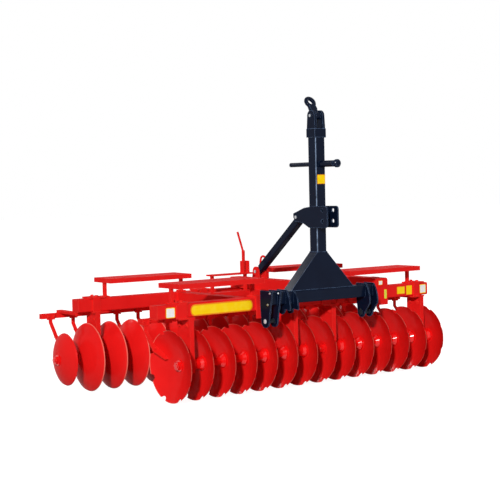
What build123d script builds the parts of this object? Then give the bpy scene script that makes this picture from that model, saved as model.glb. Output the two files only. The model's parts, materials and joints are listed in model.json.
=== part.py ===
"""Mounted offset disc harrow: two rows of dished discs under a red box-section frame,
with a black three-point headstock, a tall mast and a swinging lifting eye.

Millimetres, +Z up, ground at z = 0. The tractor side faces -Y. The middle of the front row
is at x = 0, y = 0. Each row has its own frame: local +X runs along the gang axis.
"""
from build123d import *
from math import atan2, cos, degrees, hypot, radians, sin, sqrt
import os

os.makedirs("parts", exist_ok=True)

# Rows of discs
DISC_D = 560.0            # full-size disc
END_DISC_D = 426.0        # small levelling disc at the outer end of the rear row
DISC_T = 6.0              # disc steel
DISC_DISH = 92.0          # depth of the dish at the flat seat
END_DISH = 62.0
SEAT_R = 62.0             # flat seat in the middle of a disc
SHAFT_R = 18.0            # gang shaft
BORE_CLEAR = 0.3          # disc bore on the shaft, radius
PITCH = 208.4             # from disc to disc
GANG_DISCS = 7            # full-size discs in a gang, two gangs in a row
ROW_ANGLE = 1.55          # each row against the machine's cross line, opening to the left
ROW_GAP = 911.0           # front axis to rear axis at x = REAR_SHIFT
REAR_SHIFT = -150.4       # middle of the rear row's full-size discs
NOTCHES = 8
NOTCH_R = 30.0            # cutter that makes a notch
NOTCH_OUT = 8.0           # cutter centre outside the rim
AXIS_Z = DISC_D / 2

# Spools, bearings and the legs that carry them
SPOOL_R = 55.0            # bell against the disc seat
SPOOL_WAIST = 32.0
BELL_L = 16.0
JOURNAL_R = 40.0
HOUSING_R = 66.0
HOUSING_L = 70.0
BEARING_GAP = 0.5         # journal in its housing, radius
NUT_R = 34.0             # over the corners of the end nut
NUT_L = 26.0
WASHER_R = 44.0
WASHER_L = 10.0
LEG_T = 40.0              # leg
LEG_OFF = 44.0            # leg off the middle of its spool, away from the next rim
HOUSING_OFF = 27.0
LEG_LOW_R = 83.0          # round the housing

# Frame
BEAM = 109.0              # outside of the gang beams
BEAM_WALL = 8.0
BEAM_CORNER = 12.0
BEAM_TOP = DISC_D + 201.0
FRONT_BEAM_ENDS = (-1494.0, 1400.0)
REAR_BEAM_ENDS = (-1465.0, 1740.0)      # along the rear row's own axis
SIDE_X = (-620.0, 872.0)                # middles of the two side members
SIDE_W = 100.0
CROSS_Y = 575.0                         # middle of the cross member
CROSS_W = 90.0

RAIL_HALF = 50.0                        # centre rail on top of the beams
RAIL_H = 92.0
RAIL_REAR = 965.0
RIGHT_RAIL = (790.0, 900.0)
RIGHT_RAIL_H = 70.0
RIGHT_RAIL_FRONT = -29.0
END_PLATE = (765.0, 900.0)              # plate that closes the right rail in front of the beam
END_PLATE_DROP = 160.0

# Clamps of the legs, each pair of ends measured from the leg's middle
CLAMP_T = 12.0
LEG_TOP_W = 166.0
CLAMPS = {                # row: per leg (foot plate, front and back strap, top strap)
    "front": [
        ((-112, 32), (-127, -27), (-100, -20)),
        ((-112, 32), (-120, -20), (-120, -20)),
        ((-112, 32), (-120, -20), (-120, -20)),
        ((-112, 32), (-80, -12), (-66, 47)),
    ],
    "rear": [
        ((-40, 100), (-33, 33), (-65, 80)),
        ((-40, 100), (-33, 33), (-65, 80)),
        ((-40, 100), (-33, 33), (45, 110)),
        ((-40, 100), (-33, 33), (25, 100)),
    ],
}

# Scrapers
SCRAPER_BAR_OFF = DISC_D / 2 + 20.0     # behind the gang axis
SCRAPER_BAR = 42.0
SCRAPER_BAR_Z = DISC_D + 49.0
SCRAPER_BAR_OVER = 60.0   # past the outermost rims
SCRAPER_GAP = 7.0         # blade off the disc
BLADE_W = 34.0            # blade on the open side of the rim
BLADE_T = 7.0
ARM_T = 8.0
ARM_CLEAR = 3.0           # arm off the plane of the rim
BLADE_TAIL = 40.0         # blade past the rim
BLADE_SEAT = 0.1          # paint between blade and arm
EDGE_STEPS = 6            # chords in the blade's curved edge
STEM_W = 72.0             # plate that bolts an arm to the bar
STEM_H = 50.0
STEM_T = 8.0
HANGER_W = 50.0
HANGER_OFF = 52.0         # hanger beside the leg
HANGER_T = 10.0

# Weight trays
TRAY_W = 285.0
TRAY_T = 38.0
TRAY_WALL = 5.0
TRAY_TOP = BEAM_TOP + 157.0
POST_W = 26.0
POST_IN = 20.0            # post's middle from the tray's end
POST_FOOT = (44.0, 90.0)
TRAYS = [                 # name, row, ends along the row
    ("front_left", "front", -1347.0, -521.0),
    ("front_right", "front", 398.0, 1224.0),
    ("rear_left", "rear", -1211.0, -432.0),
    ("rear_right", "rear", 438.0, 1217.0),
]

# Headstock
TUBE = 100.0
TUBE_WALL = 8.0
HEAD_FRONT = -250.0       # front face of the cross tube and the mast
CROSS_TUBE_TOP = BEAM_TOP + 45.0
GUSSET_TOP = CROSS_TUBE_TOP + 298.0
GUSSET_HALF = 330.0
GUSSET_WALL = 8.0
MAST_TOP = CROSS_TUBE_TOP + 1224.0
CHEEK_T = 12.0
CHEEK_FRONT = -392.0
CHEEK_REAR = 40.0
CHEEK_STEP = (-160.0, -70.0, 42.0)      # lower edge rises from the first Y to the second, by how much
CHEEK_CREST = (-220.0, -100.0, 14.0)    # top edge falls from the first Y to the second, by how much
CHEEK_LOW = CROSS_TUBE_TOP + 494.0
CHEEK_HIGH = CHEEK_LOW + 175.0
TOP_LINK_Y = -330.0
TOP_LINK_HOLES = (CHEEK_LOW + 54.0, CHEEK_LOW + 141.0)
TOP_LINK_R = 16.1
HITCH_HALF = 505.0        # middle of a lower clevis from the centre line
CLEVIS_GAP = 74.0         # between its two plates
CROSS_TUBE_HALF = HITCH_HALF + CLEVIS_GAP / 2   # the outer plates close its ends
PLATE_T = 12.0
BRACKET_X = (-500.0, -340.0, 350.0, 480.0)   # webs from the cross tube to the front beam
PAD_HALF = 40.0
LEFT_PAD = (-552.0, -450.0)
LEFT_PAD_DROP = 60.0                    # how far it hangs below the beam
HOOK_X = (-380.0, -300.0)
HITCH_Y = -195.0
HITCH_Z = DISC_D + 16.0
HITCH_BORE_R = 18.6       # for a 36.6 mm pin
EYE_PIN_R = 12.0
EYE_BLOCK = 70.0
EYE_PLATE_T = 22.0
EYE_PIN_Z = MAST_TOP + 175.0
EYE_EAR_R = 44.0
EYE_MID_R = 37.0          # ring, to the middle of its round section
EYE_REACH = 131.0         # pin to the middle of the ring
EYE_LEAN = 32.0           # the ring leans back from upright
EYE_T = 30.0              # flat of the link
EYE_ROUND_R = 17.0        # round section of its ring
SHANK_W = (58.0, 70.0)    # between the ears, and above them
BOSS_R = 31.0
PIN_Z = MAST_TOP - 216.0  # long pin through the mast
PIN_R = 18.0
PIN_SLEEVE_R = 26.0
PIN_HEAD_R = 33.0
PIN_FRONT = -470.0
PIN_REAR = 135.0
PIN_CLEAR = 0.3

# Brace between the cheek plates and the cross member
BRACE_W = 60.0
BRACE_WALL = 6.0
BRACE_TOP = (2.0, CHEEK_LOW + 85.0)     # its upper pin, (y, z)
BRACE_FOOT = (600.0, BEAM_TOP + RAIL_H + 60.0)
BRACE_PIN_R = 13.0
FOOT_T = 12.0
FOOT_R = 42.0
FOOT_GAP = 1.0
TONGUE_T = 26.0
TONGUE_BACK = 46.0        # tube end before the foot pin

# Gang-angle lever and its slotted plate
LEVER_Y = 600.0
LEVER_X = -170.0
LEVER_TIP = (-226.0, BEAM_TOP + 499.0)  # (x, z)
LEVER_R = 9.0
LEVER_BAR = (12.0, 30.0, 190.0)         # flat lower part, size along X, Y and Z
LEVER_CHEEKS = (-184.0, -130.0)
CHEEK_SIZE = (10.0, 50.0, 100.0)
QUADRANT = (-531.0, -95.0)              # ends of the plate along X
QUADRANT_TOP = BEAM_TOP + 150.0
QUADRANT_T = 12.0
QUADRANT_HALF = 45.0
SLOT_HALF = 12.0
SLOT_IN = 60.0

ROWS = {
    "front": (Location((0, 0, 0), (0, 0, ROW_ANGLE)), 1),
    "rear": (Location((REAR_SHIFT, ROW_GAP, 0), (0, 0, -ROW_ANGLE)), -1),
}
BEAM_Z = BEAM_TOP - BEAM / 2
HEAD_Y = HEAD_FRONT + TUBE / 2


NODES = {}
MAST_PINS = []


def save(name, *shapes):
    """Keep the solids of one node; they are written once all are known."""
    NODES[name] = [solid for shape in shapes for solid in shape.solids()]


def write_nodes():
    """Move the middle of the machine's footprint to the origin and write one file per node."""
    boxes = [solid.bounding_box() for solids in NODES.values() for solid in solids]
    low = [min(getattr(b.min, axis) for b in boxes) for axis in "XYZ"]
    high = [max(getattr(b.max, axis) for b in boxes) for axis in "XYZ"]
    shift = Pos(-(low[0] + high[0]) / 2, -(low[1] + high[1]) / 2, -low[2])
    for name, solids in NODES.items():
        moved = [shift * s for s in solids]
        shape = moved[0] if len(moved) == 1 else Compound(children=moved)
        shape.label = name
        export_step(shape, f"parts/{name}.step")
    print("moved by", shift.position, "size", [b - a for a, b in zip(low, high)])


def box(x, y, z):
    """Solid block between the pairs x, y and z."""
    size = [b - a for a, b in (x, y, z)]
    mid = [(a + b) / 2 for a, b in (x, y, z)]
    return Pos(*mid) * Box(*size)


def revolve_x(points):
    """Turn a closed outline of (x, radius) points about the X axis."""
    return revolve(make_face(Polyline(*points, close=True)), Axis.X)


def tube_x(x0, x1, width, wall, corner):
    """Square tube along X, its middle on the axis."""
    outer = RectangleRounded(width, width, corner)
    inner = RectangleRounded(width - 2 * wall, width - 2 * wall, corner - wall / 2)
    return extrude(Plane.YZ.offset(x0) * (outer - inner), x1 - x0)


def plate_x(outline, x_mid, thick):
    """Plate square to X from a face drawn in (y, z)."""
    return extrude(Plane.YZ.offset(x_mid - thick / 2) * outline, thick)


def sphere_centre(radius, dish):
    """Centre, on the axis, of the ball that the dished zone is cut from."""
    return (dish**2 + SEAT_R**2 - radius**2) / (2 * dish)


def disc(rim_x, side, diameter=DISC_D, dish=DISC_DISH, notched=False):
    """Dished disc with a flat seat. side is +1 where the dish bulges to +X."""
    radius = diameter / 2
    centre = sphere_centre(radius, dish)
    ball = hypot(centre, radius)
    inner_mid = radians(degrees(atan2(radius, -centre) + atan2(SEAT_R, dish - centre)) / 2)
    back = centre + sqrt((ball + DISC_T) ** 2 - SEAT_R**2)
    edge_r = radius - DISC_T
    edge_x = centre + sqrt((ball + DISC_T) ** 2 - edge_r**2)
    inner = ThreePointArc((0, radius), (centre + ball * cos(inner_mid), ball * sin(inner_mid)), (dish, SEAT_R))
    outer = ThreePointArc(
        (back, SEAT_R),
        (centre + (ball + DISC_T) * cos(inner_mid), (ball + DISC_T) * sin(inner_mid)),
        (edge_x, edge_r),
    )
    bore = SHAFT_R + BORE_CLEAR
    rest = Polyline((edge_x, edge_r), (0, radius))
    seat = Polyline((dish, SEAT_R), (dish, bore), (back, bore), (back, SEAT_R))
    solid = revolve(make_face(inner + seat + outer + rest), Axis.X)
    if notched:
        for k in range(NOTCHES):
            angle = radians(360 / NOTCHES * (k + 0.5))
            at = (0, (radius + NOTCH_OUT) * cos(angle), (radius + NOTCH_OUT) * sin(angle))
            solid -= Pos(*at) * Rot(0, 90, 0) * Cylinder(NOTCH_R, 4 * DISC_DISH)
    if side < 0:
        solid = solid.mirror(Plane.YZ)
    return Pos(rim_x, 0, AXIS_Z) * solid


def seat_thickness(diameter=DISC_D, dish=DISC_DISH):
    """Steel between the two faces of a disc's flat seat."""
    centre = sphere_centre(diameter / 2, dish)
    return centre + sqrt((hypot(centre, diameter / 2) + DISC_T) ** 2 - SEAT_R**2) - dish


def gang_rims(row, half):
    """Rim positions of one gang along its row: half is -1 for the left, +1 for the right."""
    first = -GANG_DISCS if half < 0 else 0
    return [(first + k + 0.5) * PITCH for k in range(GANG_DISCS)]


def seats(rims, side, small=None):
    """(low x, high x) of each disc's clamped steel, from left to right."""
    spans = []
    for rim in rims:
        dish, steel = DISC_DISH, seat_thickness()
        if rim == small:
            dish, steel = END_DISH, seat_thickness(END_DISC_D, END_DISH)
        near = rim + side * dish
        spans.append(tuple(sorted((near, near + side * steel))))
    return spans


def journals(spans, has_small):
    """Middles of the two spools that run in bearings: the outer spool at each end."""
    skip = 1 if has_small else 0
    gaps = [(a[1] + b[0]) / 2 for a, b in zip(spans, spans[1:])]
    return gaps[skip], gaps[-1]


def axle(spans, bearings):
    """Shaft with its spools, bearing journals and end washers as one turned outline, and a hex nut on each end."""
    def bell(x0, x1, waist):
        flare = BELL_L * 1.4
        return [(x0, SPOOL_R), (x0 + BELL_L, SPOOL_R), (x0 + BELL_L + flare, waist),
                (x1 - BELL_L - flare, waist), (x1 - BELL_L, SPOOL_R), (x1, SPOOL_R)]

    low, high = spans[0][0], spans[-1][1]
    end = WASHER_L + NUT_L + 6
    pts = [(low - end, 0), (low - end, SHAFT_R), (low - WASHER_L, SHAFT_R),
           (low - WASHER_L, WASHER_R), (low, WASHER_R), (low, SHAFT_R)]
    for left, right in zip(spans, spans[1:]):
        x0, x1 = left[1], right[0]
        waist = JOURNAL_R if any(abs((x0 + x1) / 2 - b) < 1 for b in bearings) else SPOOL_WAIST
        pts += [(x0, SHAFT_R)] + bell(x0, x1, waist) + [(x1, SHAFT_R)]
    pts += [(high, SHAFT_R), (high, WASHER_R), (high + WASHER_L, WASHER_R), (high + WASHER_L, SHAFT_R),
            (high + end, SHAFT_R), (high + end, 0)]
    turned = revolve_x(pts)
    for x in (low - WASHER_L - NUT_L, high + WASHER_L):
        turned += extrude(Plane.YZ.offset(x) * RegularPolygon(NUT_R, 6), NUT_L)
    return Pos(0, 0, AXIS_Z) * turned


def leg_outline():
    """Leg in (y, z): straight down from the beam, round about the housing."""
    top, low = BEAM_TOP - BEAM - CLAMP_T, AXIS_Z
    web = Pos(0, (top + low) / 2) * Rectangle(LEG_TOP_W, top - low)
    return web + Pos(0, low) * Circle(LEG_LOW_R) - Pos(0, low) * Circle(HOUSING_R)


def leg(x, foot):
    """Leg with the foot plate that it is welded to, under the beam."""
    plate = box((x + foot[0], x + foot[1]), (-LEG_TOP_W / 2, LEG_TOP_W / 2),
                (BEAM_TOP - BEAM - CLAMP_T, BEAM_TOP - BEAM))
    return plate_x(leg_outline(), x, LEG_T) + plate


def housing(x, side):
    """Bearing housing in the leg, bored for the journal; x is the middle of its spool."""
    flange = HOUSING_R + 12
    bolt_face = LEG_T / 2 - LEG_OFF + HOUSING_OFF
    pts = [(-HOUSING_L / 2, JOURNAL_R + BEARING_GAP), (-HOUSING_L / 2, HOUSING_R),
           (bolt_face, HOUSING_R), (bolt_face, flange),
           (bolt_face + 12, flange), (bolt_face + 12, HOUSING_R), (HOUSING_L / 2 - 8, HOUSING_R),
           (HOUSING_L / 2, HOUSING_R - 8), (HOUSING_L / 2, JOURNAL_R + BEARING_GAP)]
    return Pos(x - side * HOUSING_OFF, 0, AXIS_Z) * revolve_x([(side * a, r) for a, r in pts])


def clamp(x, sides, over):
    """Flat straps on the front, back and top of the beam, over a leg."""
    half = BEAM / 2
    across = (x + sides[0], x + sides[1])
    front = box(across, (-half - CLAMP_T, -half), (BEAM_TOP - BEAM, BEAM_TOP))
    back = box(across, (half, half + CLAMP_T), (BEAM_TOP - BEAM, BEAM_TOP))
    top = box((x + over[0], x + over[1]), (-half - CLAMP_T, half + CLAMP_T), (BEAM_TOP, BEAM_TOP + CLAMP_T))
    return front, back, top


def bent_bar(points, thick):
    """Face of a flat bar, thick wide, along a path of straight runs in (y, z)."""
    def normal(p, q):
        run = hypot(q[0] - p[0], q[1] - p[1])
        return (q[1] - p[1]) / run, -(q[0] - p[0]) / run

    normals = [normal(p, q) for p, q in zip(points, points[1:])]
    sides = [[], []]
    for k, (y, z) in enumerate(points):
        a, b = normals[max(k - 1, 0)], normals[min(k, len(normals) - 1)]
        share = thick / 2 / (1 + a[0] * b[0] + a[1] * b[1])
        sides[0].append((y + share * (a[0] + b[0]), z + share * (a[1] + b[1])))
        sides[1].append((y - share * (a[0] + b[0]), z - share * (a[1] + b[1])))
    return make_face(Polyline(*sides[0], *reversed(sides[1]), close=True))


def scraper(rim_x, side, radius, dish):
    """Arm down from the bar and a bolted blade whose edge follows the concave face of one disc."""
    centre = sphere_centre(radius, dish)
    ball = hypot(centre, radius) - SCRAPER_GAP
    start, end = (0.85 * radius, 0.63 * radius), (0.43 * radius, 0.15 * radius)
    run = hypot(start[0] - end[0], start[1] - end[1])
    out = ((start[0] - end[0]) / run, (start[1] - end[1]) / run)

    def edge(u):
        """Point of the blade's edge, u out from its inner end: (u, x)."""
        y, z = end[0] + u * out[0], end[1] + u * out[1]
        return u, side * (centre + sqrt(max(ball**2 - y**2 - z**2, 0)))

    stand, clear, tail = -side * BLADE_W, -side * ARM_CLEAR, run + BLADE_TAIL
    curve = [edge(run * k / EDGE_STEPS) for k in range(EDGE_STEPS + 1)]
    outline = curve + [(tail, clear), (tail, stand), (run / 2, stand), (0, curve[0][1] + stand)]
    plane = Plane(origin=(rim_x, end[0], AXIS_Z + end[1]), x_dir=(0, *out), z_dir=(0, -out[1], out[0]))
    face = make_face(Polyline(*[(u, v * plane.y_dir.X) for u, v in outline], close=True))
    blade = extrude(plane.offset(-BLADE_T / 2) * face, BLADE_T, dir=plane.z_dir)

    lift = BLADE_T / 2 + BLADE_SEAT + ARM_T / 2
    foot = (end[0] - lift * out[1] + run * 0.55 * out[0], AXIS_Z + end[1] + lift * out[0] + run * 0.55 * out[1])
    stem_y = SCRAPER_BAR_OFF - ARM_T / 2
    bend = (stem_y, foot[1] + (stem_y - foot[0]) * out[1] / out[0])
    arm = bent_bar([foot, bend, (stem_y, SCRAPER_BAR_Z + SCRAPER_BAR / 2)], ARM_T)
    middle = rim_x + (stand + clear) / 2
    front = SCRAPER_BAR_OFF - ARM_T - STEM_T
    top = SCRAPER_BAR_Z + SCRAPER_BAR / 2
    stem = box((middle - STEM_W / 2, middle + STEM_W / 2), (front, front + STEM_T), (top - STEM_H, top))
    return blade, plate_x(arm, middle, BLADE_W - ARM_CLEAR), stem


def build_row(row, shared):
    """Everything that hangs on one gang beam; pieces that both rows share go into shared."""
    place, side = ROWS[row]
    beam_ends = FRONT_BEAM_ENDS if row == "front" else REAR_BEAM_ENDS
    save(f"{row}_beam", place * Pos(0, 0, BEAM_Z) * tube_x(*beam_ends, BEAM, BEAM_WALL, BEAM_CORNER))

    legs, blades, arms, all_rims = [], [], [], []
    for half, name in ((-1, "left"), (1, "right")):
        rims = gang_rims(row, half)
        small = None
        if row == "rear" and half < 0:
            small = rims[0] - PITCH
            rims = [small] + rims
        spans = seats(rims, side, small)
        bearings = journals(spans, small is not None)
        discs = [disc(x, side, END_DISC_D, END_DISH) if x == small
                 else disc(x, side, notched=row == "front") for x in rims]
        save(f"{row}_{name}_discs", *[place * d for d in discs])
        save(f"{row}_{name}_axle", place * axle(spans, bearings))
        shared["bearing_housings"] += [place * housing(x, side) for x in bearings]
        for x in bearings:
            foot, sides, over = CLAMPS[row][len(legs)]
            middle = x - side * LEG_OFF
            legs.append(place * leg(middle, foot))
            shared["leg_clamps"] += [place * strap for strap in clamp(middle, sides, over)]
            shared["scraper_hangers"].append(place * hanger(middle - side * HANGER_OFF))
        for x in rims:
            radius, dish = (END_DISC_D / 2, END_DISH) if x == small else (DISC_D / 2, DISC_DISH)
            blade, arm, stem = scraper(x, side, radius, dish)
            blades.append(place * blade)
            arms += [place * arm, place * stem]
        all_rims += rims
    save(f"{row}_legs", *legs)
    save(f"{row}_scraper_blades", *blades)
    save(f"{row}_scraper_arms", *arms)
    bar = box((min(all_rims) - SCRAPER_BAR_OVER, max(all_rims) + SCRAPER_BAR_OVER),
              (SCRAPER_BAR_OFF, SCRAPER_BAR_OFF + SCRAPER_BAR),
              (SCRAPER_BAR_Z - SCRAPER_BAR / 2, SCRAPER_BAR_Z + SCRAPER_BAR / 2))
    save(f"{row}_scraper_bar", place * bar)
    if row == "rear":
        end = (beam_ends[0], beam_ends[0] + HANGER_W)
        bar_top = SCRAPER_BAR_Z + SCRAPER_BAR / 2
        bracket = box(end, (0, SCRAPER_BAR_OFF + SCRAPER_BAR), (bar_top, BEAM_TOP - BEAM))
        shared["scraper_hangers"].append(place * bracket)


def hanger(x):
    """Bracket from under the foot plate of a leg back to the scraper bar, with a lip behind the bar."""
    across = (x - HANGER_W / 2, x + HANGER_W / 2)
    bar_top = SCRAPER_BAR_Z + SCRAPER_BAR / 2
    back = SCRAPER_BAR_OFF + SCRAPER_BAR
    strap = box(across, (LEG_TOP_W / 4, back + HANGER_T), (bar_top, bar_top + HANGER_T))
    return strap + box(across, (back, back + HANGER_T), (bar_top - SCRAPER_BAR, bar_top))


def build_frame():
    """Side members between the two beams and the cross member between them."""
    blocks = [ROWS[row][0] * box((-2500, 2500), (-BEAM / 2, BEAM / 2), (BEAM_TOP - BEAM, BEAM_TOP)) for row in ROWS]
    members = []
    wall = BEAM_WALL * 2
    for x in SIDE_X:
        section = Pos(x, BEAM_Z) * (Rectangle(SIDE_W, BEAM) - Rectangle(SIDE_W - wall, BEAM - wall))
        body = extrude(Plane.XZ.offset(-ROW_GAP) * section, ROW_GAP)
        for block in blocks:
            body -= block
        members.append(max(body.solids(), key=lambda s: s.volume))
    save("side_members", *members)
    cross = box((SIDE_X[0] + SIDE_W / 2, SIDE_X[1] - SIDE_W / 2), (CROSS_Y - CROSS_W / 2, CROSS_Y + CROSS_W / 2),
                (BEAM_TOP - CROSS_W, BEAM_TOP))
    cross -= box((-2500, 2500), (CROSS_Y - CROSS_W / 2 + BEAM_WALL, CROSS_Y + CROSS_W / 2 - BEAM_WALL),
                 (BEAM_TOP - CROSS_W + BEAM_WALL, BEAM_TOP - BEAM_WALL))
    save("cross_member", cross)

    head_back = HEAD_FRONT + TUBE
    rail = box((-RAIL_HALF, RAIL_HALF), (head_back, RAIL_REAR), (BEAM_TOP, BEAM_TOP + RAIL_H))
    rail -= box((-RAIL_HALF + BEAM_WALL, RAIL_HALF - BEAM_WALL), (head_back, RAIL_REAR),
                (BEAM_TOP + BEAM_WALL, BEAM_TOP + RAIL_H - BEAM_WALL))
    save("centre_rail", rail)
    low, high = RIGHT_RAIL
    right = box((low, high), (RIGHT_RAIL_FRONT, RAIL_REAR), (BEAM_TOP, BEAM_TOP + RIGHT_RAIL_H))
    right -= box((low + BEAM_WALL, high - BEAM_WALL), (RIGHT_RAIL_FRONT, RAIL_REAR),
                 (BEAM_TOP + BEAM_WALL, BEAM_TOP + RIGHT_RAIL_H - BEAM_WALL))
    face = Polyline((END_PLATE[0], BEAM_TOP - END_PLATE_DROP), (END_PLATE[1], BEAM_TOP - END_PLATE_DROP),
                    (END_PLATE[1], BEAM_TOP + RIGHT_RAIL_H), (END_PLATE[0], BEAM_TOP + RIGHT_RAIL_H), close=True)
    face = fillet(make_face(face).vertices().sort_by(Axis.Y)[-2:].sort_by(Axis.X)[-1], 20)
    plate = extrude(Plane.XZ.offset(BEAM / 2) * face, PLATE_T)
    save("right_rail", right, ROWS["front"][0] * plate)


def build_trays():
    """Ballast trays: a folded plate with turned-down edges on two posts welded under it."""
    low = TRAY_TOP - TRAY_T
    for name, row, x0, x1 in TRAYS:
        tray = box((x0, x1), (-TRAY_W / 2, TRAY_W / 2), (low, TRAY_TOP))
        tray -= box((x0 + TRAY_WALL, x1 - TRAY_WALL), (-TRAY_W / 2 + TRAY_WALL, TRAY_W / 2 - TRAY_WALL),
                    (low, TRAY_TOP - TRAY_WALL))
        for x in (x0 + POST_IN, x1 - POST_IN):
            tray += box((x - POST_W / 2, x + POST_W / 2), (-POST_W / 2, POST_W / 2), (BEAM_TOP, TRAY_TOP - TRAY_WALL))
            tray += box((x - POST_FOOT[0] / 2, x + POST_FOOT[0] / 2), (-POST_FOOT[1] / 2, POST_FOOT[1] / 2),
                        (BEAM_TOP, BEAM_TOP + CLAMP_T))
        save(f"weight_tray_{name}", ROWS[row][0] * tray)


def build_headstock():
    """Cross tube, gusset box, mast, cheek plates, brace and lower clevises."""
    tube = Pos(0, HEAD_Y, CROSS_TUBE_TOP - TUBE / 2) * tube_x(-CROSS_TUBE_HALF, CROSS_TUBE_HALF, TUBE, TUBE_WALL, 12)
    save("headstock_cross_tube", tube)

    def gusset_face(top, low, inset):
        return make_face(Polyline((-GUSSET_HALF + inset, low), (GUSSET_HALF - inset, low),
                                  (TUBE / 2 - inset, top), (-TUBE / 2 + inset, top), close=True))
    back = Plane.XZ.offset(-(HEAD_FRONT + TUBE))
    solid = extrude(back * gusset_face(GUSSET_TOP, CROSS_TUBE_TOP, 0), TUBE)
    hollow = extrude(Plane.XZ.offset(-(HEAD_FRONT + TUBE - GUSSET_WALL))
                     * gusset_face(GUSSET_TOP - GUSSET_WALL, CROSS_TUBE_TOP, GUSSET_WALL * 1.5), TUBE - 2 * GUSSET_WALL)
    save("headstock_gusset", solid - hollow)

    mast = Pos(0, HEAD_Y, 0) * Rot(0, -90, 0) * tube_x(GUSSET_TOP, MAST_TOP, TUBE, TUBE_WALL, 12)
    mast -= Pos(0, HEAD_Y, PIN_Z) * Rot(90, 0, 0) * Cylinder(PIN_R + PIN_CLEAR, TUBE * 2)
    save("mast", mast)

    cheek = make_face(Polyline(
        (CHEEK_FRONT, CHEEK_LOW), (CHEEK_STEP[0], CHEEK_LOW), (CHEEK_STEP[1], CHEEK_LOW + CHEEK_STEP[2]),
        (BRACE_TOP[0] + 20, BRACE_TOP[1] - 34), (CHEEK_REAR, BRACE_TOP[1]), (CHEEK_REAR, BRACE_TOP[1] + 30),
        (CHEEK_CREST[1], CHEEK_HIGH - CHEEK_CREST[2]), (CHEEK_CREST[0], CHEEK_HIGH), (CHEEK_FRONT, CHEEK_HIGH),
        close=True))
    cheek = fillet([v for v in cheek.vertices() if abs(v.X - CHEEK_FRONT) < 1], 28)
    for z in TOP_LINK_HOLES:
        cheek -= Pos(TOP_LINK_Y, z) * Circle(TOP_LINK_R)
    cheek -= Pos(*BRACE_TOP) * Circle(BRACE_PIN_R + PIN_CLEAR)
    offset = TUBE / 2 + CHEEK_T / 2
    save("mast_cheek_plates", *[plate_x(cheek, x, CHEEK_T) for x in (-offset, offset)])


def build_brace():
    """Square-tube brace with a tongue at its foot, its two pins and the fork that carries it."""
    y0, z0 = BRACE_TOP
    y1, z1 = BRACE_FOOT
    length = hypot(y1 - y0, z1 - z0)
    tilt = degrees(atan2(z1 - z0, y1 - y0))
    end = length - TONGUE_BACK
    body = Rot(0, 0, 90) * tube_x(-BRACE_W * 0.55, end, BRACE_W, BRACE_WALL, 6)
    tongue = box((-TONGUE_T / 2, TONGUE_T / 2), (end - BRACE_W, length), (-BRACE_W / 2 + BRACE_WALL, BRACE_W / 2 - BRACE_WALL))
    tongue += Pos(0, length, 0) * Rot(0, 90, 0) * Cylinder(BRACE_W / 2 - BRACE_WALL, TONGUE_T)
    body = Pos(0, y0, z0) * Rot(tilt, 0, 0) * (body + tongue)
    for y, z in ((y0, z0), (y1, z1)):
        body -= Pos(0, y, z) * Rot(0, 90, 0) * Cylinder(BRACE_PIN_R + PIN_CLEAR, BRACE_W * 2)
    save("mast_brace", body)
    spans = (TUBE / 2 + CHEEK_T + 8, BRACE_W / 2 + FOOT_GAP + FOOT_T + 8)
    for (y, z), half in zip(((y0, z0), (y1, z1)), spans):
        MAST_PINS.append(Pos(0, y, z) * Rot(0, 90, 0) * Cylinder(BRACE_PIN_R, 2 * half))
    low = BEAM_TOP + RAIL_H
    ear = make_face(Polyline((y1 - 50, low), (y1 + 50, low), (y1 + FOOT_R, z1), (y1 - FOOT_R, z1), close=True))
    ear += Pos(y1, z1) * Circle(FOOT_R)
    ear -= Pos(y1, z1) * Circle(BRACE_PIN_R + PIN_CLEAR)
    shift = BRACE_W / 2 + FOOT_GAP + FOOT_T / 2
    save("brace_foot_fork", *[plate_x(ear, x, FOOT_T) for x in (-shift, shift)])


def hitch_plate(x, tail, top=CROSS_TUBE_TOP + 14, straight=False):
    """Black plate round the cross tube or on its end, its front edge straight or curved, tail its lowest bore."""
    back = HEAD_FRONT + TUBE + 14
    radius = 50.0 if straight else 42.0
    if straight:
        nose = Line((HEAD_FRONT - 42, top), (HITCH_Y - radius, tail))
        outline = Polyline((back, top), (HEAD_FRONT - 42, top))
        low = Polyline((HITCH_Y - radius, tail), (HITCH_Y + radius, tail), (back, CROSS_TUBE_TOP - TUBE - 14), (back, top))
    else:
        front = HEAD_FRONT - 52
        outline = Polyline((back, top), (HEAD_FRONT - 4, top))
        nose = ThreePointArc((HEAD_FRONT - 4, top), (front + 6, CROSS_TUBE_TOP - 70), (front, CROSS_TUBE_TOP - 150))
        low = Polyline((front, CROSS_TUBE_TOP - 150), (HITCH_Y - radius, tail), (HITCH_Y + radius, tail),
                       (back, CROSS_TUBE_TOP - TUBE - 14), (back, top))
    face = make_face(outline + nose + low) + Pos(HITCH_Y, tail) * Circle(radius)
    if abs(x) < CROSS_TUBE_HALF:
        face -= Pos(HEAD_Y, CROSS_TUBE_TOP - TUBE / 2) * RectangleRounded(TUBE, TUBE, 12)
    return plate_x(face, x, PLATE_T)


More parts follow.
